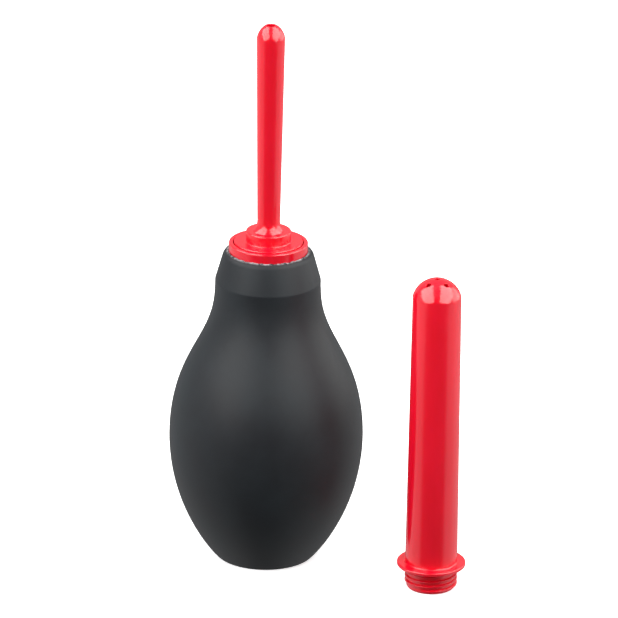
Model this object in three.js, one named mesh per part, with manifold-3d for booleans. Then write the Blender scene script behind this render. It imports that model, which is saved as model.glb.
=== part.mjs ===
/*
 * Squeeze bulb with two screw-in nozzles.
 *
 * Millimetres, +Z up. The origin is the centre of the bulb's flat base, and the bulb's axis is +Z.
 * A soft rubber bulb holds a plastic collar in its neck. The slim nozzle is screwed down on a flat
 * rubber seal in the collar. The wide nozzle, which fits the same thread, stands beside the bulb on
 * its threaded end.
 */
import * as THREE from 'three';
import { mergeVertices } from 'three/addons/utils/BufferGeometryUtils.js';
import Module from 'manifold-3d';

const wasm = await Module();
wasm.setup();

// Driving dimensions.
const SIDES = 30; // facets around every turned piece, and steps in each turn of a thread
const FIT_GAP = 0.3; // clearance between neighbouring pieces

const bulb = {
  baseRadius: 21.1,
  baseHandle: { radius: 21.7, z: 0.1 }, // how the side leaves the base
  lowerHandleZ: 21.5, // the handles that pull the side upright below and above the belly
  bellyRadius: 41.9,
  bellyZ: 55,
  upperHandleZ: 92.5,
  shoulderHandleZ: 98, // the handle that turns the shoulder up into the band
  beadRadius: 22.75, // the thicker band of rubber round the collar
  beadZ: 124,
  beadTopZ: 125.5, // from here the band turns in to the tapered neck
  beadCornerZ: 126.9,
  neckRadius: 22.35,
  neckZ: 128.2,
  lipRadius: 19.6,
  lipZ: 138,
  lipHandle: { radius: 19.15, z: 139.3 },
  topZ: 139.9,
  wall: 3,
  floor: 4,
  floorEdge: 3, // how far in from the wall the floor's flat starts
  neckBelowCollar: 2, // the straight neck runs on this far below the collar
};

const collar = {
  radius: 17,
  bottomZ: 116,
  topZ: 144,
  barbRadius: 19.4, // the ridge that the rubber grips
  barbLowZ: 118.5,
  barbWideZ: 120.5,
  barbHighZ: 122,
  seatRadius: 15.4, // the sunk seat that takes a nozzle's flange
  seatZ: 141.35,
  rimEdge: 0.6,
  seatEdge: 0.3,
  coreInner: 13.2, // the moulder's ring-shaped core, open below
  coreOuter: 15.2,
  coreTopZ: 137,
};

const thread = {
  pitch: 2.2,
  rootRadius: 10.5,
  crestRadius: 11.3,
  rootHalfWidth: 0.75,
  crestHalfWidth: 0.35,
  buried: 0.4, // how far the ridge's flanks run on below the root
  flankGap: 0.2,
  startAngle: THREE.MathUtils.degToRad(210),
  startZ: 1.05, // height of the ridge's middle at its start, over the spigot's end
  turns: 3.4,
};

const spigot = { length: 10.1, boreRadius: 8.9, endRadius: 10, chamfer: 0.6 };

const flange = { radius: 14.8, thickness: 1.55, edge: 0.35 };

const seal = { innerRadius: 11.7, outerRadius: 14.6, thickness: 1 };

const slim = {
  bossRadius: 9.7,
  bossHeight: 4.8,
  bossEdge: 0.5,
  flareRadius: 6.8,
  flareHandle: { out: 0.2, up: 1.6 }, // from the rod's foot radius and the boss's top
  flareHeight: 4.2,
  rodLowRadius: 4.92,
  rodHighRadius: 6.05,
  rodTopZ: 235.8,
  tipZ: 241.45,
  tipFlatRadius: 2.6,
  tipArcRadius: 8,
  tipHoleRadius: 1.9,
  boreFootRadius: 3.6,
  boreLowRadius: 3.3,
  boreHighRadius: 4.2,
  wall: 1.7,
};

const wide = {
  x: 72,
  y: -35,
  lowRadius: 11.25,
  highRadius: 10.4,
  foot: 1.4, // fillet between the flange and the shaft
  boreLowRadius: 9.2,
  domeZ: 133.4,
  topZ: 141.4,
  wall: 1.8,
  holeRadius: 1.1,
  holePolar: THREE.MathUtils.degToRad(30.5), // from the nozzle's axis, about the dome's centre
  holeCount: 4,
};

const slimSpigotZ = collar.seatZ + FIT_GAP + seal.thickness + FIT_GAP - spigot.length;

const point = (radius, z) => new THREE.Vector2(radius, z);

// The points of a plane curve after its first one, which the stretch before it has given.
const along = (curve, steps) => curve.getPoints(steps).slice(1);

// Points on a circular arc from a to b that bulges away from the axis.
function arc(a, b, radius, steps) {
  const chord = b.clone().sub(a);
  const toCentre = Math.sqrt(radius * radius - chord.lengthSq() / 4);
  const inward = point(-chord.y, chord.x).normalize();
  const centre = a.clone().add(b).multiplyScalar(0.5).addScaledVector(inward, toCentre);
  const from = a.clone().sub(centre).angle();
  const to = b.clone().sub(centre).angle();
  return along(new THREE.EllipseCurve(centre.x, centre.y, radius, radius, from, to, to < from), steps);
}

// A solid turned about +Z. Its outline runs up the outside and down the inside, and either starts
// and ends on the axis or closes on itself.
function turned(outline) {
  return new THREE.LatheGeometry(outline, SIDES).rotateX(Math.PI / 2);
}

const turnedRing = (outline) => turned([...outline, outline[0]]);

function solid(geometry) {
  geometry.deleteAttribute('normal');
  geometry.deleteAttribute('uv');
  const merged = mergeVertices(geometry, 1e-4);
  return new wasm.Manifold(new wasm.Mesh({
    numProp: 3,
    vertProperties: merged.getAttribute('position').array,
    triVerts: new Uint32Array(merged.getIndex().array),
  }));
}

function geometryOf(manifold) {
  const mesh = manifold.getMesh();
  const geometry = new THREE.BufferGeometry();
  geometry.setAttribute('position', new THREE.BufferAttribute(mesh.vertProperties, 3));
  geometry.setIndex(new THREE.BufferAttribute(mesh.triVerts, 1));
  return geometry;
}

// A right-hand helix about +Z whose sections stay in the planes through the axis.
class Helix extends THREE.Curve {
  constructor(radius, pitch, turns, startAngle, startZ) {
    super();
    Object.assign(this, { radius, pitch, turns, startAngle, startZ });
  }

  angle(t) {
    return this.startAngle + 2 * Math.PI * this.turns * t;
  }

  getPoint(t, target = new THREE.Vector3()) {
    const angle = this.angle(t);
    const z = this.startZ + this.pitch * this.turns * t;
    return target.set(this.radius * Math.cos(angle), this.radius * Math.sin(angle), z);
  }

  computeFrenetFrames(segments) {
    const frames = { tangents: [], normals: [], binormals: [] };
    for (let i = 0; i <= segments; i++) {
      const angle = this.angle(i / segments);
      frames.tangents.push(new THREE.Vector3(-Math.sin(angle), Math.cos(angle), 0));
      frames.normals.push(new THREE.Vector3(Math.cos(angle), Math.sin(angle), 0));
      frames.binormals.push(new THREE.Vector3(0, 0, -1));
    }
    return frames;
  }
}

// A thread's ridge, or with gaps the tool that cuts the groove for it. Its flanks run straight on
// below the root, so that it joins or cuts without a seam.
function threadRidge(spigotZ, radialGap, flankGap, extraBelow, extraAbove) {
  const depth = thread.crestRadius - thread.rootRadius;
  const flank = (thread.rootHalfWidth - thread.crestHalfWidth) / depth;
  const root = thread.rootHalfWidth + flankGap + flank * thread.buried;
  const crest = thread.crestHalfWidth + flankGap;
  const section = new THREE.Shape([
    point(-thread.buried, -root),
    point(depth + radialGap, -crest),
    point(depth + radialGap, crest),
    point(-thread.buried, root),
  ]);
  const turns = extraBelow + thread.turns + extraAbove;
  const helix = new Helix(
    thread.rootRadius,
    thread.pitch,
    turns,
    thread.startAngle - 2 * Math.PI * extraBelow,
    spigotZ + thread.startZ - thread.pitch * extraBelow,
  );
  const steps = Math.round(turns * SIDES);
  return solid(new THREE.ExtrudeGeometry(section, { steps, extrudePath: helix }));
}

// The outside of a nozzle's threaded end and flange, from the spigot's end up to the flange's top edge.
function spigotOutline(z) {
  const flangeZ = z + spigot.length;
  const topZ = flangeZ + flange.thickness;
  return [
    point(spigot.boreRadius, z),
    point(spigot.endRadius, z),
    point(thread.rootRadius, z + spigot.chamfer),
    point(thread.rootRadius, flangeZ),
    point(flange.radius - flange.edge, flangeZ),
    point(flange.radius, flangeZ + flange.edge),
    point(flange.radius, topZ - flange.edge),
    point(flange.radius - flange.edge, topZ),
  ];
}

function makeBulb() {
  const belowBelly = new THREE.CubicBezierCurve(
    point(bulb.baseRadius, 0),
    point(bulb.baseHandle.radius, bulb.baseHandle.z),
    point(bulb.bellyRadius, bulb.lowerHandleZ),
    point(bulb.bellyRadius, bulb.bellyZ),
  );
  const aboveBelly = new THREE.CubicBezierCurve(
    point(bulb.bellyRadius, bulb.bellyZ),
    point(bulb.bellyRadius, bulb.upperHandleZ),
    point(bulb.beadRadius, bulb.shoulderHandleZ),
    point(bulb.beadRadius, bulb.beadZ),
  );
  const beadCorner = new THREE.QuadraticBezierCurve(
    point(bulb.beadRadius, bulb.beadTopZ),
    point(bulb.beadRadius, bulb.beadCornerZ),
    point(bulb.neckRadius, bulb.neckZ),
  );
  const neckInner = collar.radius + FIT_GAP;
  const lip = new THREE.QuadraticBezierCurve(
    point(bulb.lipRadius, bulb.lipZ),
    point(bulb.lipHandle.radius, bulb.lipHandle.z),
    point(neckInner, bulb.topZ),
  );

  // The chamber follows the outside at one wall's thickness, down to the flat floor.
  const inset = (curve, t) => {
    const tangent = curve.getTangent(t);
    return curve.getPoint(t).add(point(-tangent.y, tangent.x).multiplyScalar(bulb.wall));
  };
  const chamber = [];
  for (const t of [0.85, 0.7, 0.55, 0.4, 0.25, 0.1, 0]) chamber.push(inset(aboveBelly, t));
  for (const t of [0.85, 0.7, 0.55, 0.4, 0.25]) chamber.push(inset(belowBelly, t));
  const floorRadius = chamber.at(-1).x - bulb.floorEdge;

  const grooveZ = collar.barbHighZ + FIT_GAP;
  const outline = [
    point(0, 0),
    point(bulb.baseRadius, 0),
    ...along(belowBelly, 10),
    ...along(aboveBelly, 14),
    ...beadCorner.getPoints(2),
    point(bulb.lipRadius, bulb.lipZ),
    ...along(lip, 3),
    point(neckInner, grooveZ),
    point(collar.barbRadius + FIT_GAP, grooveZ),
    point(collar.barbRadius + FIT_GAP, collar.barbWideZ - FIT_GAP),
    point(neckInner, collar.barbLowZ - FIT_GAP),
    point(neckInner, collar.bottomZ - bulb.neckBelowCollar),
    ...chamber,
    point(floorRadius, bulb.floor),
    point(0, bulb.floor),
  ];
  return turned(outline);
}

function makeCollar() {
  const bore = thread.rootRadius + FIT_GAP;
  const mouth = thread.crestRadius + 2 * FIT_GAP;
  const { rimEdge, seatEdge } = collar;
  const body = solid(turnedRing([
    point(bore, collar.bottomZ),
    point(collar.coreInner, collar.bottomZ),
    point(collar.coreInner, collar.coreTopZ),
    point(collar.coreOuter, collar.coreTopZ),
    point(collar.coreOuter, collar.bottomZ),
    point(collar.radius, collar.bottomZ),
    point(collar.radius, collar.barbLowZ),
    point(collar.barbRadius, collar.barbWideZ),
    point(collar.barbRadius, collar.barbHighZ),
    point(collar.radius, collar.barbHighZ),
    point(collar.radius, collar.topZ - rimEdge),
    ...arc(
      point(collar.radius, collar.topZ - rimEdge),
      point(collar.radius - rimEdge, collar.topZ),
      rimEdge,
      3,
    ),
    point(collar.seatRadius + seatEdge, collar.topZ),
    point(collar.seatRadius, collar.topZ - seatEdge),
    point(collar.seatRadius, collar.seatZ),
    point(mouth, collar.seatZ),
    point(bore, collar.seatZ - (mouth - bore)),
  ]));
  const groove = threadRidge(slimSpigotZ, FIT_GAP, thread.flankGap, 1, 1);
  return geometryOf(body.subtract(groove));
}

function makeSeal() {
  const low = collar.seatZ + FIT_GAP;
  const high = low + seal.thickness;
  return turnedRing([
    point(seal.innerRadius, low),
    point(seal.outerRadius, low),
    point(seal.outerRadius, high),
    point(seal.innerRadius, high),
  ]);
}

function makeSlimNozzle() {
  const flangeTop = slimSpigotZ + spigot.length + flange.thickness;
  const bossTop = flangeTop + slim.bossHeight;
  const flareTop = bossTop + slim.flareHeight;
  const flare = new THREE.QuadraticBezierCurve(
    point(slim.flareRadius, bossTop),
    point(slim.rodLowRadius + slim.flareHandle.out, bossTop + slim.flareHandle.up),
    point(slim.rodLowRadius, flareTop),
  );
  const shoulder = point(slim.rodHighRadius, slim.rodTopZ);
  const body = solid(turnedRing([
    ...spigotOutline(slimSpigotZ),
    point(slim.bossRadius, flangeTop),
    point(slim.bossRadius, bossTop - slim.bossEdge),
    point(slim.bossRadius - slim.bossEdge, bossTop),
    point(slim.flareRadius, bossTop),
    ...along(flare, 4),
    shoulder,
    ...arc(shoulder, point(slim.tipFlatRadius, slim.tipZ), slim.tipArcRadius, 4),
    point(slim.tipHoleRadius, slim.tipZ),
    point(slim.tipHoleRadius, slim.tipZ - slim.wall),
    point(slim.boreHighRadius, slim.rodTopZ),
    point(slim.boreLowRadius, flareTop),
    point(slim.boreFootRadius, bossTop),
    point(slim.bossRadius - slim.wall, bossTop - slim.wall),
    point(spigot.boreRadius, flangeTop - flange.thickness),
  ]));
  return geometryOf(body.add(threadRidge(slimSpigotZ, 0, 0, 0, 0)));
}

function makeWideNozzle() {
  const flangeTop = spigot.length + flange.thickness;
  const foot = new THREE.QuadraticBezierCurve(
    point(wide.lowRadius + wide.foot, flangeTop),
    point(wide.lowRadius, flangeTop),
    point(wide.lowRadius, flangeTop + wide.foot),
  );
  const domeHeight = wide.topZ - wide.domeZ;
  const domeRadius = (wide.highRadius ** 2 + domeHeight ** 2) / (2 * domeHeight);
  const centreZ = wide.topZ - domeRadius;
  const onDome = (radius, r) => point(r, centreZ + Math.sqrt(radius ** 2 - r ** 2));
  const innerRadius = domeRadius - wide.wall;
  const innerShoulder = point(wide.highRadius - wide.wall, wide.domeZ);
  const innerTop = onDome(innerRadius, wide.holeRadius);
  const innerDome = arc(innerShoulder, innerTop, innerRadius, 6).reverse();
  const shoulder = point(wide.highRadius, wide.domeZ);
  const body = solid(turnedRing([
    ...spigotOutline(0),
    ...foot.getPoints(3),
    shoulder,
    ...arc(shoulder, onDome(domeRadius, wide.holeRadius), domeRadius, 8),
    ...innerDome,
    innerShoulder,
    point(wide.boreLowRadius, flangeTop + wide.foot),
  ]));

  let nozzle = body.add(threadRidge(0, 0, 0, 0, 0));
  for (let i = 0; i < wide.holeCount; i++) {
    const drill = new THREE.CylinderGeometry(wide.holeRadius, wide.holeRadius, 4 * wide.wall, 12);
    drill.rotateX(Math.PI / 2);
    drill.translate(0, 0, domeRadius);
    drill.rotateX(wide.holePolar);
    drill.rotateZ((i + 0.5) * 2 * Math.PI / wide.holeCount);
    drill.translate(0, 0, centreZ);
    nozzle = nozzle.subtract(solid(drill));
  }
  return geometryOf(nozzle);
}

const rubber = { color: '#2b2d30', roughness: 0.62, metalness: 0 };
const redPlastic = { color: '#e01b2f', roughness: 0.22, metalness: 0 };

const squeezeBulb = new THREE.Group();

function addPiece(name, geometry, look) {
  const mesh = new THREE.Mesh(geometry, new THREE.MeshStandardMaterial(look));
  mesh.name = name;
  squeezeBulb.add(mesh);
  return mesh;
}

addPiece('bulb', makeBulb(), rubber);
addPiece('collar', makeCollar(), redPlastic);
addPiece('nozzle_seal', makeSeal(), rubber);
addPiece('slim_nozzle', makeSlimNozzle(), redPlastic);
addPiece('wide_nozzle', makeWideNozzle(), redPlastic).position.set(wide.x, wide.y, 0);

export default squeezeBulb;
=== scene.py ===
"""Squeeze bulb with two screw-in nozzles.

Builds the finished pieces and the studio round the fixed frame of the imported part. Everything is
in metres, +Z up, with the origin at the centre of the bulb's base.
"""

import math
from functools import partial

import bpy
from bpy.props import FloatProperty, FloatVectorProperty, IntProperty, PointerProperty
from mathutils import Matrix, Vector, noise


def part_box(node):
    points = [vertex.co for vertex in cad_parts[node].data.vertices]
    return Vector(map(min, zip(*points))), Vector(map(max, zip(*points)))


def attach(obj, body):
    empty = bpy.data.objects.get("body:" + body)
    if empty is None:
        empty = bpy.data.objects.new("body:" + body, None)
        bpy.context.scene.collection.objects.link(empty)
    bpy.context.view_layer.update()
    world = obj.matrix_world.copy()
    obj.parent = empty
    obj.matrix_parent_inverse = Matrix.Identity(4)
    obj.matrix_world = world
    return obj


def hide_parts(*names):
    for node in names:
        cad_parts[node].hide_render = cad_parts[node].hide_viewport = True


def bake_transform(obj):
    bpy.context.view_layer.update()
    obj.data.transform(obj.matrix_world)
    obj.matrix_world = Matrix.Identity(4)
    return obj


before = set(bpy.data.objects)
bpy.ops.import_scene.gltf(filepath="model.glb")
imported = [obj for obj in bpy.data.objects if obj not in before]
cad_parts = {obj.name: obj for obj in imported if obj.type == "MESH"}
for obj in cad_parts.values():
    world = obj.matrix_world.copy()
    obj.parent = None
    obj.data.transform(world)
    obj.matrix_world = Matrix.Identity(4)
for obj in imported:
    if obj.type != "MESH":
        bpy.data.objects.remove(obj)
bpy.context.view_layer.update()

bl_info = {
    "name": "Squeeze Bulb",
    "version": (1, 0, 0),
    "blender": (4, 5, 0),
    "location": "3D View > Sidebar > Squeeze Bulb",
    "description": "A rubber squeeze bulb with a threaded collar and two screw-in nozzles",
    "category": "Add Mesh",
}

MM = 0.001
BULB_SIDES = 256
TURNED_SIDES = 192
BELOW_STEPS, ABOVE_STEPS = 44, 60  # points along the bulb's outside, below and above its widest
CHAMBER_STEPS = 16, 52  # the points of each that the chamber starts and ends at
ARC_STEP = math.radians(11)  # largest turn between two points of a rounded corner
SHARP_ANGLE = math.radians(38)  # edges that bend further than this stay crisp
EDGE = 0.25 * MM  # rounding of a moulded part's plain edges
FLASH_ATTRIBUTE = "flash"
MIX_A, MIX_B, MIXED = 6, 7, 2  # a mix node's colour inputs and its colour output

WARM, WHITE = (1.0, 0.97, 0.93), (1.0, 1.0, 1.0)  # the softboxes in reflections, and on matt skins
LIT = Vector((0.01, 0, 0.12))  # what the lights are turned to
FRAMED = Vector((17.79 * MM, 0, 113.29 * MM))  # what the camera is turned to
# Each softbox's name, place, width and height, roll in degrees, and share of the stage's glow or
# light. A glow shows in reflections only, and a light falls on matt surfaces only.
SOFTBOXES = (
    ("left_glow", (-1.38, -0.66, 1.52), (3.8, 2.1), -35.4, 1),
    ("left_light", (-1.45, -0.45, 1.2), (1.8, 1.8), 0, 3.3),
    ("left_back_light", (-1.3, 1.3, 0.9), (1.6, 1.6), 0, 0.8),
    ("right_glow", (1.38, -0.66, 1.52), (3.8, 2.1), 35.4, 1),
    ("right_light", (1.45, -0.45, 1.2), (1.8, 1.8), 0, 2.2),
    ("right_back_light", (1.3, 1.3, 0.9), (1.6, 1.6), 0, 0.8),
    ("right_rim_glow", (1.7, 0.5, 0.5), (1.8, 1.0), 0, 0.52),
    ("overhead_light", (0, 0, 2.4), (3.0, 3.0), 0, 1.5),
    ("top_light", (0, -0.5, 0.75), (0.5, 0.5), 0, 4.8),
)
# The tent's brightness from straight in front (0) to straight behind (1), low down and high up.
TENT_LOW = ((0.0, 0.16), (0.13, 0.2), (0.27, 0.9), (0.6, 1.05), (0.93, 0.7), (0.99, 0.12))
TENT_HIGH = ((0.0, 0.15), (0.5, 0.8), (0.9, 0.55))


# Sizes and colours

def top(node):
    """Height of a frame node's highest point."""
    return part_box(node)[1].z


def bottom(node):
    """Height of a frame node's lowest point."""
    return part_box(node)[0].z


def widest(node):
    """Largest radius of a turned frame node."""
    low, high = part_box(node)
    return (high.y - low.y) / 2


def centre(node):
    """Where a turned frame node's axis meets the floor."""
    low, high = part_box(node)
    return Vector(((low.x + high.x) / 2, (low.y + high.y) / 2, 0))


def length(name, description, default):
    """A property for a size or a place, in metres."""
    return FloatProperty(name=name, description=description, default=default, unit="LENGTH")


def angle(name, description, degrees):
    """A property for an angle, given in degrees."""
    default = math.radians(degrees)
    return FloatProperty(name=name, description=description, default=default, subtype="ANGLE")


def amount(name, description, default):
    """A property for a plain number that can't be negative."""
    return FloatProperty(name=name, description=description, default=default, min=0)


def linear(hex_colour):
    """The linear colour of an sRGB hex value."""
    channels = [int(hex_colour[i:i + 2], 16) / 255 for i in (1, 3, 5)]
    return [c / 12.92 if c <= 0.04045 else ((c + 0.055) / 1.055) ** 2.4 for c in channels]


def colour(name, description, hex_colour):
    """A property for a colour, given as an sRGB hex value."""
    return FloatVectorProperty(
        name=name, description=description, subtype="COLOR", size=3, min=0, max=1,
        default=linear(hex_colour),
    )


class BulbSettings(bpy.types.PropertyGroup):
    """The rubber bulb, turned about its own axis."""

    base_radius: length("Base radius", "Radius of the flat that the bulb stands on", 21.1 * MM)
    belly_radius: length("Belly radius", "Radius at the widest", widest("bulb"))
    belly_height: length("Belly height", "Height of the widest place", 55 * MM)
    foot_edge: length("Foot edge", "Rounding of the foot's edge", 0.6 * MM)
    low_pull: length("Low pull", "Height that the curve under the belly bulges to", 21.5 * MM)
    high_pull: length("High pull", "Height that the curve over the belly bulges to", 92.5 * MM)
    neck_pull: length("Neck pull", "Height that the shoulder's hollow is drawn to", 98 * MM)
    bead_radius: length("Bead radius", "Radius of the thick band round the collar", 22.75 * MM)
    bead_height: length("Bead height", "Where the swell of the shoulder ends", 124 * MM)
    corner_height: length("Corner height", "Where the band turns in to the neck", 126.9 * MM)
    corner_edge: length("Corner edge", "Rounding of that turn", 1.6 * MM)
    lip_radius: length("Lip radius", "Radius where the neck rounds over to the lip", 19.6 * MM)
    lip_height: length("Lip height", "Height where the neck rounds over to the lip", 138 * MM)
    top_height: length("Top", "Height of the lip's inner edge", top("bulb"))
    wall: length("Wall", "Thickness of the rubber wall", 3 * MM)
    floor: length("Floor", "Thickness of the rubber under the chamber", 4 * MM)
    flash_height: length("Flash", "Height of the ragged edge of rubber at the collar", 0.5 * MM)
    # Where the lip's top next to the collar is coloured a paler grey in speckles: how far out it is
    # full, how far it fades, and how far down it goes.
    paled_reach: length("Paled reach", "How far from the collar the lip is all worn", 0.5 * MM)
    paled_fade: length("Paled fade", "How much further the paling takes to end", 0.7 * MM)
    paled_depth: length("Paled depth", "How far below the lip the paling reaches", 0.6 * MM)
    seam_height: length("Seam", "Height of the mould's parting line", 0.07 * MM)
    rubber: colour("Rubber", "Colour of the black rubber", "#191B1F")
    bloom: colour("Bloom", "Colour of the pale bloom on the rubber", "#1D2226")
    # The paler grey that the ragged edge at the collar is coloured in speckles.
    flash_colour: colour("Paled edge", "Colour of the dusty ragged edge", "#A6A7A9")


class CollarSettings(bpy.types.PropertyGroup):
    """The threaded plastic collar in the bulb's neck."""

    radius: length("Radius", "Radius of the ring that shows above the rubber", 17 * MM)
    barb_radius: length("Barb", "Radius of the ridge that the rubber grips", widest("collar"))
    barb_foot: length("Barb foot", "Height where the ridge starts to rise", 118.5 * MM)
    barb_low: length("Barb low edge", "Height where the ridge is full", 120.5 * MM)
    barb_high: length("Barb high edge", "Height where the ridge ends", 122 * MM)
    barb_gap: length("Barb gap", "Gap between the ridge and the rubber", 0.3 * MM)
    core_radius: length("Core radius", "Radius of the wall round the thread", 13.2 * MM)
    skirt_radius: length("Skirt radius", "Inner radius of the outer wall", 15.2 * MM)
    web_height: length("Web height", "Height where the two walls join", 137 * MM)
    bottom_height: length("Bottom", "Height of the lower end", bottom("collar"))
    top_height: length("Top", "Height of the rim", top("collar"))
    rim_edge: length("Rim edge", "Rounding of the rim's outer edge", 0.6 * MM)
    seat_radius: length("Seat radius", "Radius of the sunk seat", 15.14 * MM)
    seat_height: length("Seat height", "Height of the sunk seat", 141.35 * MM)
    seat_edge: length("Seat edge", "Rounding of the rim's inner edge", 0.4 * MM)


class ThreadSettings(bpy.types.PropertyGroup):
    """The thread and flange that both nozzles have."""

    pitch: length("Pitch", "Rise of the thread in one turn", 2.2 * MM)
    root_radius: length("Root radius", "Radius of the spigot between the ridges", 10.5 * MM)
    depth: length("Depth", "Height of the ridge", 0.8 * MM)
    root_width: length("Root width", "Width of the ridge at its foot", 1.5 * MM)
    crest_width: length("Crest width", "Width of the ridge at its crest", 0.7 * MM)
    ridge_edge: length("Ridge edge", "Rounding of the ridge", 0.14 * MM)
    turns: amount("Turns", "Turns of the thread", 3.4)
    start_angle: angle("Start angle", "Where the ridge starts, round from +X", 210)
    start_height: length("Start height", "Height of the ridge's start over the end", 1.05 * MM)
    clearance: length("Clearance", "Gap between the nozzle's and the collar's thread", 0.3 * MM)
    spigot_length: length("Spigot length", "Length of the threaded end", 10.1 * MM)
    bore_radius: length("Bore radius", "Radius of the hole up the threaded end", 8.9 * MM)
    flange_radius: length("Flange radius", "Radius of the flange", widest("slim_nozzle"))
    flange_thickness: length("Flange thickness", "Thickness of the flange", 1.55 * MM)
    plastic: colour("Plastic", "Colour of the red plastic", "#EC0B2A")
    plastic_streak: colour("Plastic streak", "Colour of the flow marks in the plastic", "#E40824")


class SealSettings(bpy.types.PropertyGroup):
    """The flat seal under the slim nozzle's flange."""

    inner_radius: length("Inner radius", "Radius of the seal's hole", 11.7 * MM)
    outer_radius: length("Outer radius", "Radius of the seal's edge", widest("nozzle_seal"))
    bottom_height: length("Bottom", "Height of the lower face", bottom("nozzle_seal"))
    top_height: length("Top", "Height of the upper face", top("nozzle_seal"))
    edge: length("Edge", "Rounding of its edges", 0.12 * MM)
    rubber: colour("Seal rubber", "Colour of the sheet rubber", "#1A1A1B")


class SlimNozzleSettings(bpy.types.PropertyGroup):
    """The slim nozzle, screwed down in the collar."""

    bottom_height: length("Bottom", "Height of the threaded end", bottom("slim_nozzle"))
    boss_radius: length("Boss radius", "Radius of the round boss on the flange", 9.7 * MM)
    boss_height: length("Boss height", "Height of the boss over the flange", 4.8 * MM)
    flare_radius: length("Flare radius", "Radius of the rod's foot on the boss", 6.8 * MM)
    flare_height: length("Flare height", "Height of the flare at the rod's foot", 4.2 * MM)
    low_radius: length("Low radius", "Radius of the rod at its foot", 4.92 * MM)
    high_radius: length("High radius", "Radius of the rod below its tip", 6.05 * MM)
    shoulder_height: length("Shoulder", "Height where the tip starts to round in", 235.8 * MM)
    top_height: length("Top", "Height of the tip", top("slim_nozzle"))
    tip_radius: length("Tip radius", "Radius of the flat round the hole", 2.6 * MM)
    tip_curve: length("Tip curve", "Radius of the tip's curve", 8 * MM)
    hole_radius: length("Hole radius", "Radius of the hole in the tip", 1.9 * MM)
    bore_high: length("Upper bore", "Radius of the bore below the tip", 4.2 * MM)
    bore_low: length("Lower bore", "Radius of the bore over the flare", 3.3 * MM)
    bore_foot: length("Bore foot", "Radius of the bore at the boss", 3.6 * MM)
    wall: length("Wall", "Thickness of the tip and the boss", 1.7 * MM)


class WideNozzleSettings(bpy.types.PropertyGroup):
    """The wide nozzle that stands beside the bulb."""

    low_radius: length("Low radius", "Radius of the shaft above the flange", 11.25 * MM)
    high_radius: length("High radius", "Radius of the shaft below the dome", 10.4 * MM)
    foot: length("Foot", "Rounding between the flange and the shaft", 0.6 * MM)
    shoulder_height: length("Shoulder", "Height where the dome starts", 133.4 * MM)
    top_height: length("Top", "Height of the dome", top("wide_nozzle"))
    wall: length("Wall", "Thickness of the wall", 1.8 * MM)
    hole_radius: length("Hole radius", "Radius of each hole in the dome", 1.1 * MM)
    hole_rim: length("Hole rim", "Rounding of each hole's edge", 0.35 * MM)
    hole_angle: angle("Hole angle", "Angle of the ring of holes from the axis", 30.5)
    hole_count: IntProperty(name="Holes", description="Holes in the ring", default=4, min=1)


class StageSettings(bpy.types.PropertyGroup):
    """The floor, the lights and the camera."""

    floor_size: length("Floor size", "Side of the square floor", 14.0)
    floor_colour: colour("Floor", "Colour of the floor", "#FCFCFC")
    floor_glow: amount("Floor glow", "Light that comes up through the floor", 0.6)
    softbox_glow: amount("Softbox glow", "Brightness of the softboxes in reflections", 5.7)
    softbox_light: amount("Softbox light", "Brightness of the softboxes on matt surfaces", 0.8)
    camera_distance: length("Camera distance", "Distance from the camera to its aim", 2.795)
    camera_pitch: angle("Camera pitch", "How far the camera looks down", 21)
    camera_roll: angle("Camera roll", "Tilt of the camera about its view", 0.856)
    lens: FloatProperty(name="Lens", description="Focal length", default=378.64, unit="CAMERA")


class SqueezeBulbSettings(bpy.types.PropertyGroup):
    """Everything that can be changed, piece by piece."""

    bulb: PointerProperty(type=BulbSettings)
    collar: PointerProperty(type=CollarSettings)
    thread: PointerProperty(type=ThreadSettings)
    seal: PointerProperty(type=SealSettings)
    slim_nozzle: PointerProperty(type=SlimNozzleSettings)
    wide_nozzle: PointerProperty(type=WideNozzleSettings)
    stage: PointerProperty(type=StageSettings)


# Outlines and turned meshes

def bezier(a, b, c, d, steps):
    """Points along a cubic curve, from its start up to but without its end."""
    points = []
    for i in range(steps):
        t = i / steps
        s = 1 - t
        weights = (s ** 3, 3 * s * s * t, 3 * s * t * t, t ** 3)
        points.append(tuple(
            sum(w * p[axis] for w, p in zip(weights, (a, b, c, d))) for axis in (0, 1)
        ))
    return points


def swept(middle, start, end, steps):
    """Points on an arc about its middle, from start to end, which are both seen from there."""
    return [middle + start.slerp(end, i / steps) * start.length for i in range(steps + 1)]


def arc(a, b, radius, steps):
    """Points from a up to but without b on an arc that bulges to the right of the way there."""
    a, b = Vector(a), Vector(b)
    chord = b - a
    left = Vector((-chord.y, chord.x)).normalized()
    middle = (a + b) / 2 + left * math.sqrt(radius ** 2 - (chord.length / 2) ** 2)
    return [tuple(point) for point in swept(middle, a - middle, b - middle, steps)[:-1]]


def rounded(outline):
    """The outline with each corner that carries a third value rounded to that radius.

    A point close beside each end of the rounding keeps the faces next to it flat when shaded.
    """
    beside = 0.1 * MM
    points = []
    for index, (r, z, *radius) in enumerate(outline):
        corner = Vector((r, z))
        if not radius:
            points.append(corner)
            continue
        before = Vector(outline[index - 1][:2]) - corner
        after = Vector(outline[(index + 1) % len(outline)][:2]) - corner
        half_angle = before.angle(after) / 2
        room = 0.45 * min(before.length, after.length)
        reach = min(radius[0] / math.tan(half_angle), room)
        size = reach * math.tan(half_angle)
        sides = before.normalized(), after.normalized()
        middle = corner + (sides[0] + sides[1]).normalized() * size / math.sin(half_angle)
        start, end = (corner + side * reach - middle for side in sides)
        steps = max(2, math.ceil((math.pi - 2 * half_angle) / ARC_STEP))
        if before.length > 2 * reach + 2 * beside:
            points.append(corner + sides[0] * (reach + beside))
        points += swept(middle, start, end, steps)
        if after.length > 2 * reach + 2 * beside:
            points.append(corner + sides[1] * (reach + beside))
    return points


def even_angles(sides):
    """Angles spread evenly round the axis."""
    return [2 * math.pi * i / sides for i in range(sides)]


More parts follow.
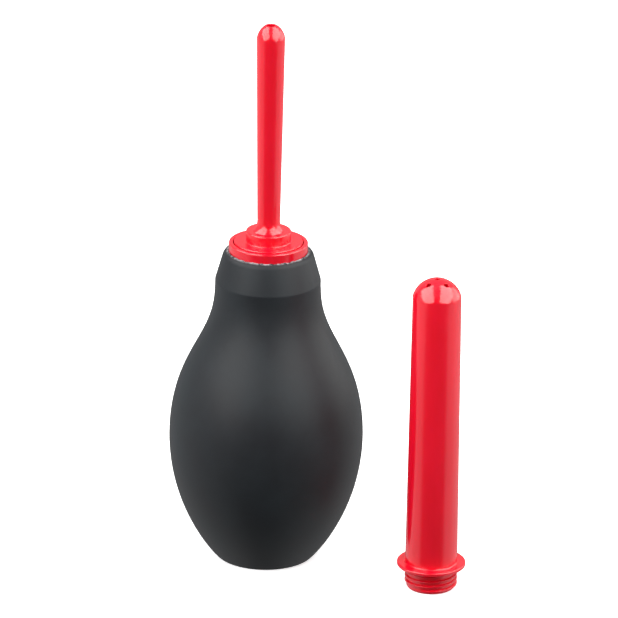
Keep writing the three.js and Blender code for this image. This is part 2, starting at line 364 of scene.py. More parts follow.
def turned(name, outline, angles, place=Vector((0, 0, 0)), shape=None):
    """A closed mesh turned about +Z at a place on the floor.

    The outline holds (radius, height) points. It runs up the outside and down the inside, and
    either starts and ends on the axis or closes on itself. shape may move each point.
    """
    vertices, rings = [], []
    for r, z in outline:
        if r < 1e-7:
            rings.append([len(vertices)] * len(angles))
            vertices.append(place + Vector((0, 0, z)))
            continue
        rings.append(list(range(len(vertices), len(vertices) + len(angles))))
        for angle in angles:
            radius, height = shape(r, z, angle) if shape else (r, z)
            around = Vector((radius * math.cos(angle), radius * math.sin(angle), height))
            vertices.append(place + around)
    closed = outline[0][0] > 1e-7
    faces = []
    for i in range(len(rings) if closed else len(rings) - 1):
        low, high = rings[i], rings[(i + 1) % len(rings)]
        for j in range(len(angles)):
            k = (j + 1) % len(angles)
            corners = [low[j], low[k], high[k], high[j]]
            faces.append(list(dict.fromkeys(corners)))
    mesh = bpy.data.meshes.new(name)
    mesh.from_pydata(vertices, [], faces)
    piece = bpy.data.objects.new(name, mesh)
    bpy.context.scene.collection.objects.link(piece)
    return piece


def finished(piece, material, body, slot, *nodes):
    """Gives a finished piece its material and shading, hangs it on its body's empty, and hides the
    frame nodes that it stands for.
    """
    mesh = piece.data
    mesh.materials.clear()
    mesh.materials.append(material)
    mesh.shade_smooth()
    mesh.set_sharp_from_angle(angle=SHARP_ANGLE)
    if body:
        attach(piece, body)
    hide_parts(*nodes)
    return piece


# Nodes

def set_inputs(node, inputs):
    """Sets inputs, by name or number, to values, or links them to sockets or to first outputs."""
    for key, value in inputs.items():
        for one in value if isinstance(value, list) else [value]:
            if isinstance(one, bpy.types.Node):
                one = one.outputs[0]
            if isinstance(one, bpy.types.NodeSocket):
                node.id_data.links.new(one, node.inputs[key])
            else:
                node.inputs[key].default_value = one


def add_node(tree, kind, inputs=None, **settings):
    """Adds a node with its settings and its inputs."""
    node = tree.nodes.new(kind)
    for key, value in settings.items():
        setattr(node, key, value)
    set_inputs(node, inputs or {})
    return node


def new_geometry_tree(name, sockets):
    """A geometry tree with named inputs, its way to add a node, and its inputs' sockets."""
    tree = bpy.data.node_groups.new(name, "GeometryNodeTree")
    tree.interface.new_socket("Geometry", in_out="OUTPUT", socket_type="NodeSocketGeometry")
    tree.interface.new_socket("Geometry", in_out="INPUT", socket_type="NodeSocketGeometry")
    for socket_name, kind in sockets.items():
        tree.interface.new_socket(socket_name, in_out="INPUT", socket_type="NodeSocket" + kind)
    tree.interface.new_socket("Material", in_out="INPUT", socket_type="NodeSocketMaterial")
    return tree, partial(add_node, tree), tree.nodes.new("NodeGroupInput").outputs


def end_geometry_tree(add, geometry, given):
    """Ends a tree in Realize Instances and Set Material."""
    real = add("GeometryNodeRealizeInstances", {"Geometry": geometry})
    painted = add("GeometryNodeSetMaterial", {"Geometry": real, "Material": given["Material"]})
    add("NodeGroupOutput", {"Geometry": painted})


def baked(piece, tree, values):
    """Runs the tree on the piece with these inputs, and keeps the result as a plain mesh."""
    modifier = piece.modifiers.new(tree.name, "NODES")
    modifier.node_group = tree
    for socket in tree.interface.items_tree:
        if socket.name in values:
            modifier[socket.identifier] = values[socket.name]
    depsgraph = bpy.context.evaluated_depsgraph_get()
    result = bpy.data.meshes.new_from_object(piece.evaluated_get(depsgraph))
    piece.modifiers.remove(modifier)
    if len(result.polygons) <= len(piece.data.polygons) // 2:
        raise RuntimeError(f"{tree.name} left too little of {piece.name}")
    result.name = piece.name
    piece.data = result
    return piece


def thread_tree(name, operation):
    """A tree that joins a right-hand screw ridge to a piece, or cuts its groove.

    The ridge's section is swept up a spiral and shrinks to nothing over its run-out at each end.
    """
    tree, add, given = new_geometry_tree(name, {
        "Centre": "Vector", "Root Radius": "Float", "Depth": "Float", "Pitch": "Float",
        "Turns": "Float", "Start Angle": "Float", "Root Half Width": "Float",
        "Crest Half Width": "Float", "Edge": "Float", "Run-out": "Float", "Steps": "Int",
    })
    rise = add("ShaderNodeMath", {0: given["Pitch"], 1: given["Turns"]}, operation="MULTIPLY")
    spiral = add("GeometryNodeCurveSpiral", {
        "Resolution": given["Steps"], "Rotations": given["Turns"],
        "Start Radius": given["Root Radius"], "End Radius": given["Root Radius"],
        "Height": rise, "Reverse": True,
    })
    upright = add("GeometryNodeSetCurveNormal", {"Curve": spiral}, mode="Z_UP")
    buried = add("ShaderNodeMath", {0: given["Depth"], 1: -0.5}, operation="MULTIPLY")
    corners = {}
    for number, (radial, half_width, side) in enumerate((
        (buried, given["Root Half Width"], -1),
        (given["Depth"], given["Crest Half Width"], -1),
        (given["Depth"], given["Crest Half Width"], 1),
        (buried, given["Root Half Width"], 1),
    )):
        across = add("ShaderNodeMath", {0: half_width, 1: side}, operation="MULTIPLY")
        corner = add("ShaderNodeCombineXYZ", {"X": radial, "Y": across})
        corners[f"Point {number + 1}"] = corner
    section = add("GeometryNodeCurvePrimitiveQuadrilateral", corners, mode="POINTS")
    soft_section = add("GeometryNodeFilletCurve", {
        "Curve": section, "Count": 3, "Radius": given["Edge"], "Limit Radius": True,
    }, mode="POLY")
    along = add("GeometryNodeSplineParameter").outputs["Factor"]
    to_end = add("ShaderNodeMath", {0: 1.0, 1: along}, operation="SUBTRACT")
    nearest = add("ShaderNodeMath", {0: along, 1: to_end}, operation="MINIMUM")
    swell = add("ShaderNodeMapRange", {
        "Value": nearest, "From Max": given["Run-out"], "To Min": 0.05,
    }, interpolation_type="SMOOTHSTEP")
    ridge = add("GeometryNodeCurveToMesh", {
        "Curve": upright, "Profile Curve": soft_section, "Scale": swell, "Fill Caps": True,
    })
    turn = add("ShaderNodeCombineXYZ", {"Z": given["Start Angle"]})
    placed = add("GeometryNodeTransform", {
        "Geometry": ridge, "Translation": given["Centre"], "Rotation": turn,
    })
    inputs = {"Mesh 2": [given["Geometry"], placed]}
    if operation == "DIFFERENCE":
        inputs = {"Mesh 1": given["Geometry"], "Mesh 2": placed}
    joined = add("GeometryNodeMeshBoolean", inputs, operation=operation, solver="MANIFOLD")
    end_geometry_tree(add, joined, given)
    return tree


def dome_holes_tree():
    """A tree that drills a ring of holes square to a dome, each with a rounded rim."""
    tree, add, given = new_geometry_tree("Dome holes", {
        "Dome Centre": "Vector", "Dome Radius": "Float", "Polar Angle": "Float",
        "Turn": "Float", "Count": "Int", "Hole Radius": "Float", "Rim": "Float",
        "Depth": "Float",
    })
    out = add("ShaderNodeMath", {0: given["Polar Angle"]}, operation="SINE")
    up = add("ShaderNodeMath", {0: given["Polar Angle"]}, operation="COSINE")
    radius = given["Dome Radius"]
    ring_radius = add("ShaderNodeMath", {0: out, 1: radius}, operation="MULTIPLY")
    ring_height = add("ShaderNodeMath", {0: up, 1: radius}, operation="MULTIPLY")
    ring = add("GeometryNodeMeshCircle", {"Vertices": given["Count"], "Radius": ring_radius})
    lift = add("ShaderNodeCombineXYZ", {"Z": ring_height})
    turn = add("ShaderNodeCombineXYZ", {"Z": given["Turn"]})
    raised = add("GeometryNodeTransform", {"Geometry": ring, "Translation": lift, "Rotation": turn})
    outward = add("GeometryNodeInputPosition")
    square = add("FunctionNodeAlignRotationToVector", {"Vector": outward}, axis="Z")

    # The drill follows a line through the wall, and widens over the rim as a quarter circle.
    deep = add("ShaderNodeMath", {0: given["Depth"], 1: -1.0}, operation="MULTIPLY")
    line_start = add("ShaderNodeCombineXYZ", {"Z": deep})
    line = add("GeometryNodeCurvePrimitiveLine", {"Start": line_start, "End": (0, 0, 1 * MM)})
    stepped = add("GeometryNodeResampleCurve", {"Curve": line, "Count": 90})
    here = add("GeometryNodeInputPosition")
    height = add("ShaderNodeSeparateXYZ", {0: here})
    below_rim = add("ShaderNodeMath", {0: given["Rim"], 1: -1.0}, operation="MULTIPLY")
    up_rim = add("ShaderNodeMapRange", {
        "Value": height.outputs["Z"], "From Min": below_rim, "From Max": 0.0,
    })
    squared = add("ShaderNodeMath", {0: up_rim, 1: up_rim}, operation="MULTIPLY")
    rest = add("ShaderNodeMath", {0: 1.0, 1: squared}, operation="SUBTRACT")
    root = add("ShaderNodeMath", {0: rest}, operation="SQRT")
    flare = add("ShaderNodeMath", {0: 1.0, 1: root}, operation="SUBTRACT")
    drill_radius = add("ShaderNodeMath", {
        0: flare, 1: given["Rim"], 2: given["Hole Radius"],
    }, operation="MULTIPLY_ADD")
    circle = add("GeometryNodeCurvePrimitiveCircle", {"Resolution": 40, "Radius": 1.0}, mode="RADIUS")
    drill = add("GeometryNodeCurveToMesh", {
        "Curve": stepped, "Profile Curve": circle, "Scale": drill_radius, "Fill Caps": True,
    })
    drills = add("GeometryNodeInstanceOnPoints", {
        "Points": raised, "Instance": drill, "Rotation": square,
    })
    real = add("GeometryNodeRealizeInstances", {"Geometry": drills})
    placed = add("GeometryNodeTransform", {"Geometry": real, "Translation": given["Dome Centre"]})
    drilled = add(
        "GeometryNodeMeshBoolean", {"Mesh 1": given["Geometry"], "Mesh 2": placed},
        operation="DIFFERENCE", solver="MANIFOLD",
    )
    end_geometry_tree(add, drilled, given)
    return tree


# Materials

def new_material(name):
    """A material with an empty tree, its way to add a node, its shader and its coordinates.

    One that is there already comes back with None for the rest, and is used as it is.
    """
    found = bpy.data.materials.get(name)
    if found:
        return found, None, None, None
    material = bpy.data.materials.new(name)
    material.use_nodes = True
    material.node_tree.nodes.clear()
    add = partial(add_node, material.node_tree)
    shader = add("ShaderNodeBsdfPrincipled")
    add("ShaderNodeOutputMaterial", {"Surface": shader})
    spot = add("ShaderNodeTexCoord").outputs["Object"]
    return material, add, shader, spot


def per_metre(size):
    """The scale that gives a noise texture details of about this size."""
    return 1 / size


def moulded_black_rubber(settings):
    """Compression-moulded natural rubber: a soft, satin-matt skin with a faint uneven bloom.

    The mould's blasted steel leaves grain of about 0.1 mm, drawn here at 0.5 mm so that it
    shows. The ragged edge at the collar is coloured a paler grey, in speckles that fade away
    from the collar.
    """
    material, add, shader, spot = new_material("moulded_black_rubber")
    if not add:
        return material
    mottle = add("ShaderNodeTexNoise", {
        "Vector": spot, "Scale": per_metre(26 * MM), "Detail": 3.0, "Roughness": 0.55,
    })
    tone = add("ShaderNodeMapRange", {"Value": mottle, "From Min": 0.35, "From Max": 0.7})
    body = add("ShaderNodeMix", {
        "Factor": tone, MIX_A: (*settings.rubber, 1), MIX_B: (*settings.bloom, 1),
    }, data_type="RGBA")
    # A paler grey in speckles on the lip's top next to the collar, fading away from it.
    paled = add("ShaderNodeAttribute", attribute_name=FLASH_ATTRIBUTE)
    flecks = add("ShaderNodeTexNoise", {
        "Vector": spot, "Scale": per_metre(1.6 * MM), "Detail": 2.0, "Roughness": 0.6,
    })
    patches = add("ShaderNodeMapRange", {"Value": flecks, "From Min": 0.38, "From Max": 0.62})
    speckled = add("ShaderNodeMath", {0: paled.outputs["Fac"], 1: patches}, operation="MULTIPLY")
    skin = add("ShaderNodeMix", {
        "Factor": speckled, MIX_A: body.outputs[MIXED], MIX_B: (*settings.flash_colour, 1),
    }, data_type="RGBA")
    satin = add("ShaderNodeMapRange", {
        "Value": mottle, "From Min": 0.3, "From Max": 0.7,
        "To Min": 0.46, "To Max": 0.52,
    })
    grain = add("ShaderNodeTexNoise", {"Vector": spot, "Scale": per_metre(0.5 * MM), "Detail": 2.0})
    swell = add("ShaderNodeTexNoise", {"Vector": spot, "Scale": per_metre(18 * MM), "Detail": 1.0})
    fine = add("ShaderNodeBump", {"Strength": 0.35, "Distance": 0.02 * MM, "Height": grain})
    soft = add("ShaderNodeBump", {
        "Strength": 0.5, "Distance": 0.12 * MM, "Height": swell, "Normal": fine,
    })
    set_inputs(shader, {
        "Base Color": skin.outputs[MIXED], "Roughness": satin, "Normal": soft,
        "Specular IOR Level": 0.19,
    })
    return material


def moulded_red_plastic(settings):
    """Injection-moulded ABS from a polished mould: high gloss with faint smudges.

    Flow leaves streaks a shade apart, and shrinkage a very low orange peel of about 2 mm. The
    resin is slightly translucent: red light goes about 1.5 mm in, which softens the shading.
    """
    material, add, shader, spot = new_material("moulded_red_plastic")
    if not add:
        return material
    stretched = add("ShaderNodeMapping", {"Vector": spot, "Scale": (1, 1, 0.2)})
    flow = add("ShaderNodeTexNoise", {"Vector": stretched, "Scale": per_metre(9 * MM), "Detail": 3.0})
    streaks = add("ShaderNodeMapRange", {"Value": flow, "From Min": 0.35, "From Max": 0.65})
    body = add("ShaderNodeMix", {
        "Factor": streaks, MIX_A: (*settings.plastic, 1), MIX_B: (*settings.plastic_streak, 1),
    }, data_type="RGBA")
    smudges = add("ShaderNodeTexNoise", {
        "Vector": spot, "Scale": per_metre(6 * MM), "Detail": 4.0, "Roughness": 0.6,
    })
    gloss = add("ShaderNodeMapRange", {
        "Value": smudges, "From Min": 0.35, "From Max": 0.7,
        "To Min": 0.12, "To Max": 0.2,
    })
    peel = add("ShaderNodeTexNoise", {"Vector": spot, "Scale": per_metre(2 * MM), "Detail": 1.0})
    bump = add("ShaderNodeBump", {"Strength": 0.25, "Distance": 0.015 * MM, "Height": peel})
    set_inputs(shader, {
        "Base Color": body.outputs[MIXED], "Roughness": gloss, "Normal": bump, "IOR": 1.54,
        "Subsurface Weight": 0.3, "Subsurface Radius": (1.0, 0.2, 0.12),
        "Subsurface Scale": 1.5 * MM,
    })
    return material


def punched_sheet_rubber(settings):
    """Calendered sheet rubber, punched to a ring: dull, with a fine even grain."""
    material, add, shader, spot = new_material("punched_sheet_rubber")
    if not add:
        return material
    grain = add("ShaderNodeTexNoise", {"Vector": spot, "Scale": per_metre(0.6 * MM), "Detail": 2.0})
    tone = add("ShaderNodeMix", {
        "Factor": grain, MIX_A: (*settings.rubber, 1), MIX_B: (*(2 * c for c in settings.rubber), 1),
    }, data_type="RGBA")
    bump = add("ShaderNodeBump", {"Strength": 0.4, "Distance": 0.03 * MM, "Height": grain})
    set_inputs(shader, {"Base Color": tone.outputs[MIXED], "Roughness": 0.75, "Normal": bump})
    return material


def painted_studio_floor(settings):
    """A matt painted sweep: near-white, with the slightest unevenness of a rolled coat."""
    material, add, shader, spot = new_material("painted_studio_floor")
    if not add:
        return material
    uneven = add("ShaderNodeTexNoise", {"Vector": spot, "Scale": per_metre(0.3), "Detail": 2.0})
    tone = add("ShaderNodeMix", {
        "Factor": uneven, MIX_A: (*settings.floor_colour, 1), MIX_B: (1, 1, 1, 1),
    }, data_type="RGBA")
    set_inputs(shader, {
        "Base Color": tone.outputs[MIXED], "Roughness": 1.0, "Specular IOR Level": 0.0,
        "Emission Color": (1, 1, 1, 1), "Emission Strength": settings.floor_glow,
    })
    return material


# Pieces

def bulb_outline(bulb, collar, thread):
    """From the middle of the base up the outside, over the lip and down to the chamber's floor."""
    belly = (bulb.belly_radius, bulb.belly_height)
    bead = (bulb.bead_radius, bulb.bead_height)
    below = ((bulb.base_radius, 0), (bulb.base_radius + bulb.foot_edge, 0.1 * MM),
             (bulb.belly_radius, bulb.low_pull), belly)
    above = (belly, (bulb.belly_radius, bulb.high_pull), (bulb.bead_radius, bulb.neck_pull), bead)
    neck_inner = collar.radius + thread.clearance
    lip = ((bulb.lip_radius, bulb.lip_height),
           (bulb.lip_radius - 0.3 * MM, bulb.lip_height + 0.8 * MM),
           (bulb.lip_radius - 0.9 * MM, bulb.top_height - 0.25 * MM),
           (neck_inner + 0.35 * MM, bulb.top_height))
    outside = [
        (0, 0),
        (bulb.base_radius - 6 * MM, 0),
        *bezier(*below, BELOW_STEPS),
        *bezier(*above, ABOVE_STEPS),
        bead,
        (bulb.bead_radius, bulb.corner_height, bulb.corner_edge),
        *bezier(*lip, 8),
        lip[3],
    ]
    flash = [
        (neck_inner + 0.22 * MM, bulb.top_height + 0.12 * MM),
        (neck_inner, bulb.top_height + 0.2 * MM),
        (collar.radius + 0.1 * MM, bulb.top_height + 0.12 * MM),
        (collar.radius + 0.08 * MM, bulb.top_height - 0.3 * MM),
    ]

    gap = collar.barb_gap
    groove_radius = collar.barb_radius + gap
    groove = [
        (neck_inner, bulb.top_height - 1.2 * MM),
        (neck_inner, collar.barb_high + gap, 0.3 * MM),
        (groove_radius, collar.barb_high + gap, 0.3 * MM),
        (groove_radius, collar.barb_low - gap, 0.3 * MM),
        (neck_inner, collar.barb_foot - gap),
        (neck_inner, collar.bottom_height - 2 * MM, 0.5 * MM),
    ]

    # The chamber follows the outside at one wall's thickness.
    first, last = CHAMBER_STEPS
    skin = [*bezier(*below, BELOW_STEPS)[first:], *bezier(*above, ABOVE_STEPS)[:last]]
    chamber = []
    for (r0, z0), (r1, z1) in zip(skin, skin[1:]):
        along = Vector((r1 - r0, z1 - z0)).normalized()
        chamber.append((r0 - along.y * bulb.wall, z0 + along.x * bulb.wall))
    chamber = chamber[::-2]
    floor_edge = chamber[-1][0] - 3 * MM
    inside = [*groove, *chamber, (floor_edge, bulb.floor, 1.5 * MM), (0, bulb.floor)]
    return rounded([*outside, *flash, *inside])


def seam_angles():
    """Even angles, with a few more across the two parting lines, at +X and -X."""
    close = [math.radians(side) for side in (-0.45, -0.22, 0.22, 0.45)]
    extra = [middle + offset for middle in (0, math.pi) for offset in close]
    return sorted(angle % (2 * math.pi) for angle in even_angles(BULB_SIDES) + extra)


class SQUEEZE_BULB_OT_bulb(bpy.types.Operator):
    """Make the hollow rubber bulb, with its ragged edge at the collar"""

    bl_idname = "squeeze_bulb.bulb"
    bl_label = "Rubber Bulb"

    def execute(self, context):
        settings = context.scene.squeeze_bulb
        bulb, collar = settings.bulb, settings.collar
        ragged_from = bulb.top_height - 0.02 * MM
        seam_half = math.radians(0.3)
        inner_limit = collar.radius + 2.2 * MM

        def shape(r, z, angle):
            way = Vector((math.cos(angle), math.sin(angle), 0))
            if z > ragged_from and r < inner_limit:
                coarse = noise.noise(way * 9)
                fine = noise.noise(way * 42 + Vector((0, 0, 3)))
                rise = max(-0.6, 0.55 * coarse + 0.75 * fine)
                return r + 0.05 * MM * fine, z + bulb.flash_height * rise
            off_seam = min(angle % math.pi, math.pi - angle % math.pi)
            outer = r > bulb.base_radius and z < bulb.bead_height
            if outer and off_seam < seam_half and r > bulb.bead_radius - 0.01 * MM:
                return r + bulb.seam_height, z
            return r, z

        outline = bulb_outline(bulb, collar, settings.thread)
        piece = turned("rubber_bulb", outline, seam_angles(), shape=shape)
        # Marks the lip's top next to the collar, fading outwards, for the material's paler speckles.
        paled = piece.data.attributes.new(FLASH_ATTRIBUTE, "FLOAT", "POINT")
        for vertex, value in zip(piece.data.vertices, paled.data):
            r, z = vertex.co.xy.length, vertex.co.z
            near = 1 - (r - collar.radius - bulb.paled_reach) / bulb.paled_fade
            value.value = min(1, max(0, near)) if z > bulb.top_height - bulb.paled_depth else 0
        finished(piece, moulded_black_rubber(bulb), None, "black_rubber", "bulb")
        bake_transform(piece)
        return {"FINISHED"}


def run_thread(piece, tree, thread, spigot_height, place, extra_turns, gap, material):
    """Runs a thread's tree on a piece, with extra turns below and above and a gap all round."""
    depth = thread.depth + gap
    turns = thread.turns + 2 * extra_turns
    start_height = spigot_height + thread.start_height - extra_turns * thread.pitch
    side_gap = gap * 2 / 3
    # The flanks run straight on below the root, to half the depth.
    slope = (thread.root_width - thread.crest_width) / 2 / thread.depth
    return baked(piece, tree, {
        "Centre": place + Vector((0, 0, start_height)),
        "Start Angle": thread.start_angle - 2 * math.pi * extra_turns,
        "Root Radius": thread.root_radius, "Depth": depth,
        "Pitch": thread.pitch, "Turns": turns, "Steps": TURNED_SIDES,
        "Root Half Width": thread.root_width / 2 + side_gap + slope * depth / 2,
        "Crest Half Width": thread.crest_width / 2 + side_gap,
        "Edge": thread.ridge_edge, "Run-out": 0.001 if extra_turns else 0.06,
        "Material": material,
    })


class SQUEEZE_BULB_OT_collar(bpy.types.Operator):
    """Make the threaded collar that the nozzles screw in to"""

    bl_idname = "squeeze_bulb.collar"
    bl_label = "Collar"

    def execute(self, context):
        settings = context.scene.squeeze_bulb
        collar, thread = settings.collar, settings.thread
        bore = thread.root_radius + thread.clearance
        mouth = thread.root_radius + thread.depth + 2 * thread.clearance
        low, high = collar.bottom_height, collar.top_height
        outline = rounded([
            (bore, low, EDGE),
            (collar.core_radius, low, EDGE),
            (collar.core_radius, collar.web_height),
            (collar.skirt_radius, collar.web_height),
            (collar.skirt_radius, low, EDGE),
            (collar.radius, low, EDGE),
            (collar.radius, collar.barb_foot),
            (collar.barb_radius, collar.barb_low, EDGE),
            (collar.barb_radius, collar.barb_high, EDGE),
            (collar.radius, collar.barb_high, EDGE),
            (collar.radius, high, collar.rim_edge),
            (collar.seat_radius, high, collar.seat_edge),
            (collar.seat_radius, collar.seat_height, EDGE),
            (mouth, collar.seat_height),
            (bore, collar.seat_height - (mouth - bore)),
        ])
        piece = turned("threaded_collar", outline, even_angles(TURNED_SIDES))
        plastic = moulded_red_plastic(thread)
        tree = thread_tree("Thread groove", "DIFFERENCE")
        run_thread(piece, tree, thread, settings.slim_nozzle.bottom_height, Vector((0, 0, 0)),
                   1, thread.clearance, plastic)
        finished(piece, plastic, "collar", "red_plastic", "collar")
        return {"FINISHED"}


class SQUEEZE_BULB_OT_seal(bpy.types.Operator):
    """Make the flat seal under the slim nozzle's flange"""

    bl_idname = "squeeze_bulb.seal"
    bl_label = "Flat Seal"

    def execute(self, context):
        seal = context.scene.squeeze_bulb.seal
        outline = rounded([
            (seal.inner_radius, seal.bottom_height, seal.edge),
            (seal.outer_radius, seal.bottom_height, seal.edge),
            (seal.outer_radius, seal.top_height, seal.edge),
            (seal.inner_radius, seal.top_height, seal.edge),
        ])
        piece = turned("flat_seal", outline, even_angles(TURNED_SIDES))
        finished(piece, punched_sheet_rubber(seal), "seal", "seal_rubber", "nozzle_seal")
        return {"FINISHED"}


def spigot_outline(thread, z):
    """The outside of a threaded end and its flange, from the end up to the flange's top edge."""
    flange_low = z + thread.spigot_length
    flange_high = flange_low + thread.flange_thickness
    return [
        (thread.bore_radius, z, EDGE),
        (thread.root_radius - 0.5 * MM, z, 0.15 * MM),
        (thread.root_radius, z + 0.6 * MM, 0.15 * MM),
        (thread.root_radius, flange_low, EDGE),
        (thread.flange_radius, flange_low, 0.4 * MM),
        (thread.flange_radius, flange_high, 0.45 * MM),
    ]


class SQUEEZE_BULB_OT_slim_nozzle(bpy.types.Operator):
    """Make the slim nozzle that is screwed down in the collar"""

    bl_idname = "squeeze_bulb.slim_nozzle"
    bl_label = "Slim Nozzle"

    def execute(self, context):
        settings = context.scene.squeeze_bulb
        thread, slim = settings.thread, settings.slim_nozzle
        flange_top = slim.bottom_height + thread.spigot_length + thread.flange_thickness
        boss_top = flange_top + slim.boss_height
        flare_top = boss_top + slim.flare_height
        flare = (
            (slim.flare_radius, boss_top),
            (slim.low_radius + 0.75 * MM, boss_top + 1.0 * MM),
            (slim.low_radius + 0.05 * MM, boss_top + 2.4 * MM),
            (slim.low_radius, flare_top),
        )
        shoulder = (slim.high_radius, slim.shoulder_height)
        rim = (slim.tip_radius, slim.top_height)
        tip = arc(shoulder, rim, slim.tip_curve, 14)
        outline = rounded([
            *spigot_outline(thread, slim.bottom_height),
            (slim.boss_radius, flange_top, 0.45 * MM),
            (slim.boss_radius, boss_top, 0.6 * MM),
            *bezier(*flare, 14),
            flare[3],
            *tip,
            (*rim, 0.2 * MM),
            (slim.hole_radius, slim.top_height, 0.2 * MM),
            (slim.hole_radius, slim.top_height - slim.wall),
            (slim.bore_high, slim.shoulder_height),
            (slim.bore_low, flare_top),
            (slim.bore_foot, boss_top),
            (slim.boss_radius - slim.wall, boss_top - slim.wall, 0.5 * MM),
            (thread.bore_radius, flange_top - thread.flange_thickness, 0.4 * MM),
        ])
        piece = turned("slim_nozzle_body", outline, even_angles(TURNED_SIDES))
        plastic = moulded_red_plastic(thread)
        tree = thread_tree("Slim nozzle thread", "UNION")
        run_thread(piece, tree, thread, slim.bottom_height, Vector((0, 0, 0)), 0, 0, plastic)
        finished(piece, plastic, "slim_nozzle", "red_plastic", "slim_nozzle")
        return {"FINISHED"}


class SQUEEZE_BULB_OT_wide_nozzle(bpy.types.Operator):
    """Make the wide nozzle that stands on its threaded end"""

    bl_idname = "squeeze_bulb.wide_nozzle"
    bl_label = "Wide Nozzle"

    def execute(self, context):
        settings = context.scene.squeeze_bulb
        thread, wide = settings.thread, settings.wide_nozzle
        place = centre("wide_nozzle")
        flange_top = thread.spigot_length + thread.flange_thickness
        dome_height = wide.top_height - wide.shoulder_height
        dome_radius = (wide.high_radius ** 2 + dome_height ** 2) / (2 * dome_height)
        dome_centre = wide.top_height - dome_radius
        inner_radius = dome_radius - wide.wall

        def on_dome(radius, r):
            return (r, dome_centre + math.sqrt(radius ** 2 - r ** 2))

        shoulder = (wide.high_radius, wide.shoulder_height)
        hole = on_dome(dome_radius, wide.hole_radius)
        inner_hole = on_dome(inner_radius, wide.hole_radius)
        inner_shoulder = (wide.high_radius - wide.wall, wide.shoulder_height)
        inner_dome = [*arc(inner_shoulder, inner_hole, inner_radius, 16), inner_hole][::-1]
        outline = rounded([
            *spigot_outline(thread, 0),
            (wide.low_radius, flange_top, wide.foot),
            *arc(shoulder, hole, dome_radius, 22),
            (*hole, wide.hole_rim),
            *inner_dome,
            (thread.bore_radius + 0.3 * MM, flange_top + 1.4 * MM, 0.5 * MM),
        ])
        piece = turned("wide_nozzle_body", outline, even_angles(TURNED_SIDES), place)
        plastic = moulded_red_plastic(thread)
        tree = thread_tree("Wide nozzle thread", "UNION")
        run_thread(piece, tree, thread, 0, place, 0, 0, plastic)
        baked(piece, dome_holes_tree(), {
            "Dome Centre": place + Vector((0, 0, dome_centre)), "Dome Radius": dome_radius,
            "Count": wide.hole_count, "Turn": math.pi / wide.hole_count,
            "Polar Angle": wide.hole_angle, "Hole Radius": wide.hole_radius,
            "Rim": wide.hole_rim, "Depth": 2 * wide.wall, "Material": plastic,
        })
        finished(piece, plastic, "wide_nozzle", "red_plastic", "wide_nozzle")
        return {"FINISHED"}


# Stage

def add_softbox(name, place, size, roll, brightness):
    """A rectangular light, turned to what is lit and rolled about its own middle."""
    in_gloss = name.endswith("glow")
    light = bpy.data.lights.new(name, "AREA")
    light.shape = "RECTANGLE"
    light.size, light.size_y = size
    light.energy = brightness * math.pi * size[0] * size[1]
    light.color = WARM if in_gloss else WHITE
    softbox = bpy.data.objects.new(name, light)
    bpy.context.scene.collection.objects.link(softbox)
    back = (Vector(place) - LIT).normalized()
    across = Vector((0, 0, 1)).cross(back)
    across = across.normalized() if across.length > 1e-4 else Vector((1, 0, 0))
    turn = Matrix((across, back.cross(across), back)).transposed()
    turn = turn @ Matrix.Rotation(math.radians(roll), 3, "Z")
    softbox.matrix_world = Matrix.Translation(place) @ turn.to_4x4()
    softbox.visible_camera = False
    softbox.visible_diffuse = not in_gloss
    softbox.visible_glossy = in_gloss


def light_world():
    """A white surround, which reflections see as a tent that is dark towards the camera's side."""
    world = bpy.data.worlds.new("studio_tent")
    bpy.context.scene.world = world
    world.use_nodes = True
    world.node_tree.nodes.clear()
    add = partial(add_node, world.node_tree)
    way = add("ShaderNodeTexCoord").outputs["Generated"]
    parts = add("ShaderNodeSeparateXYZ", {0: way})
    flat = add("ShaderNodeVectorMath", {0: way, 1: (1, 1, 0)}, operation="MULTIPLY")
    flat_length = add("ShaderNodeVectorMath", {0: flat}, operation="LENGTH")
    # 0 straight to the front (-Y), 1 straight to the back.
    turn = add("ShaderNodeMath", {
        0: parts.outputs["Y"], 1: flat_length.outputs["Value"],
    }, operation="DIVIDE")
    round_to_back = add("ShaderNodeMapRange", {"Value": turn, "From Min": -1.0, "From Max": 1.0})
    low = add("ShaderNodeValToRGB", {"Fac": round_to_back})
    set_ramp(low, TENT_LOW)
    high = add("ShaderNodeValToRGB", {"Fac": round_to_back})
    set_ramp(high, TENT_HIGH)
    upward = add("ShaderNodeMapRange", {
        "Value": parts.outputs["Z"], "From Min": -0.06, "From Max": 0.04,
    }, interpolation_type="SMOOTHSTEP")
    tent = add("ShaderNodeMix", {"Factor": upward, MIX_A: low, MIX_B: high}, data_type="RGBA")
    seen = add("ShaderNodeLightPath").outputs["Is Camera Ray"]
    shown = add("ShaderNodeMix", {
        "Factor": seen, MIX_A: tent.outputs[MIXED], MIX_B: (1, 1, 1, 1),
    }, data_type="RGBA")
    glow = add("ShaderNodeBackground", {"Color": shown.outputs[MIXED]})
    add("ShaderNodeOutputWorld", {"Surface": glow})


def set_ramp(node, stops):
    """Gives a colour ramp its stops, each a place and a grey brightness."""
    ramp = node.color_ramp
    ramp.interpolation = "EASE"
    while len(ramp.elements) < len(stops):
        ramp.elements.new(1.0)
    for element, (position, brightness) in zip(ramp.elements, stops):
        element.position = position
        element.color = (brightness, brightness, brightness, 1)


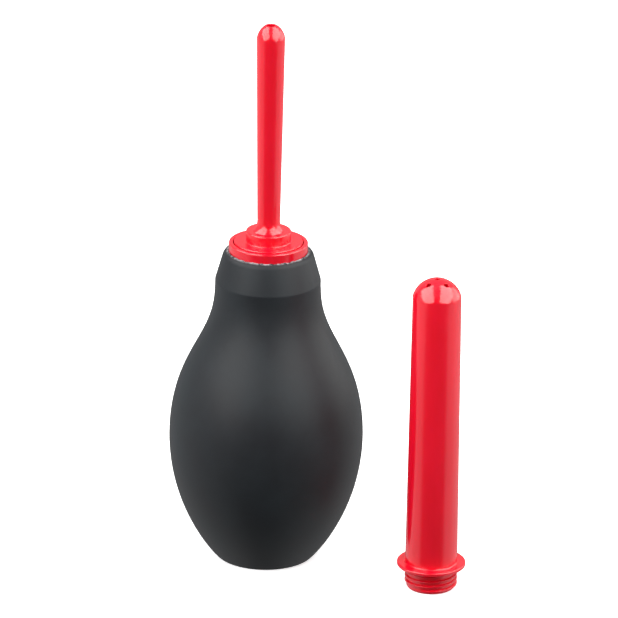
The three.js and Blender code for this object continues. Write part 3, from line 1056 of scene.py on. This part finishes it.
class SQUEEZE_BULB_OT_stage(bpy.types.Operator):
    """Make the floor, the soft studio light and the camera"""

    bl_idname = "squeeze_bulb.stage"
    bl_label = "Stage"

    def execute(self, context):
        stage = context.scene.squeeze_bulb.stage
        context.scene.view_settings.view_transform = "Standard"

        half = stage.floor_size / 2
        mesh = bpy.data.meshes.new("studio_floor")
        corners = [(-half, -half, 0), (half, -half, 0), (half, half, 0), (-half, half, 0)]
        mesh.from_pydata(corners, [], [(0, 1, 2, 3)])
        mesh.materials.append(painted_studio_floor(stage))
        floor = bpy.data.objects.new("studio_floor", mesh)
        context.scene.collection.objects.link(floor)
        floor.visible_diffuse = False
        floor.visible_glossy = False

        for name, place, size, roll, share in SOFTBOXES:
            strength = stage.softbox_glow if name.endswith("glow") else stage.softbox_light
            add_softbox(name, place, size, roll, share * strength)
        light_world()

        pitch, roll = stage.camera_pitch, stage.camera_roll
        camera_data = bpy.data.cameras.new("studio_camera")
        camera_data.lens = stage.lens
        camera_data.sensor_width = 36
        camera = bpy.data.objects.new("studio_camera", camera_data)
        context.scene.collection.objects.link(camera)
        upright = Vector((0, math.sin(pitch), math.cos(pitch)))
        sideways = Vector((1, 0, 0))
        right = math.cos(roll) * sideways + math.sin(roll) * upright
        up = math.cos(roll) * upright - math.sin(roll) * sideways
        back = Vector((0, -math.cos(pitch), math.sin(pitch)))
        turn = Matrix((right, up, back)).transposed()
        place = Matrix.Translation(FRAMED + back * stage.camera_distance)
        camera.matrix_world = place @ turn.to_4x4()
        context.scene.camera = camera
        return {"FINISHED"}


# Add-on

OPERATORS = (
    SQUEEZE_BULB_OT_bulb,
    SQUEEZE_BULB_OT_collar,
    SQUEEZE_BULB_OT_seal,
    SQUEEZE_BULB_OT_slim_nozzle,
    SQUEEZE_BULB_OT_wide_nozzle,
    SQUEEZE_BULB_OT_stage,
)


class SQUEEZE_BULB_PT_panel(bpy.types.Panel):
    """Lists the pieces and the stage"""

    bl_idname = "SQUEEZE_BULB_PT_panel"
    bl_label = "Squeeze Bulb"
    bl_space_type = "VIEW_3D"
    bl_region_type = "UI"
    bl_category = "Squeeze Bulb"

    def draw(self, context):
        for operator in OPERATORS:
            self.layout.operator(operator.bl_idname)


CLASSES = (
    BulbSettings,
    CollarSettings,
    ThreadSettings,
    SealSettings,
    SlimNozzleSettings,
    WideNozzleSettings,
    StageSettings,
    SqueezeBulbSettings,
    *OPERATORS,
    SQUEEZE_BULB_PT_panel,
)


def register():
    """Registers the classes and hangs the settings on the scene."""
    for cls in CLASSES:
        bpy.utils.register_class(cls)
    bpy.types.Scene.squeeze_bulb = PointerProperty(type=SqueezeBulbSettings)


def unregister():
    """Undoes register."""
    del bpy.types.Scene.squeeze_bulb
    for cls in reversed(CLASSES):
        bpy.utils.unregister_class(cls)


def main():
    """Makes every piece and the stage."""
    register()
    bpy.ops.squeeze_bulb.bulb()
    bpy.ops.squeeze_bulb.collar()
    bpy.ops.squeeze_bulb.seal()
    bpy.ops.squeeze_bulb.slim_nozzle()
    bpy.ops.squeeze_bulb.wide_nozzle()
    bpy.ops.squeeze_bulb.stage()


if __name__ == "__main__":
    main()
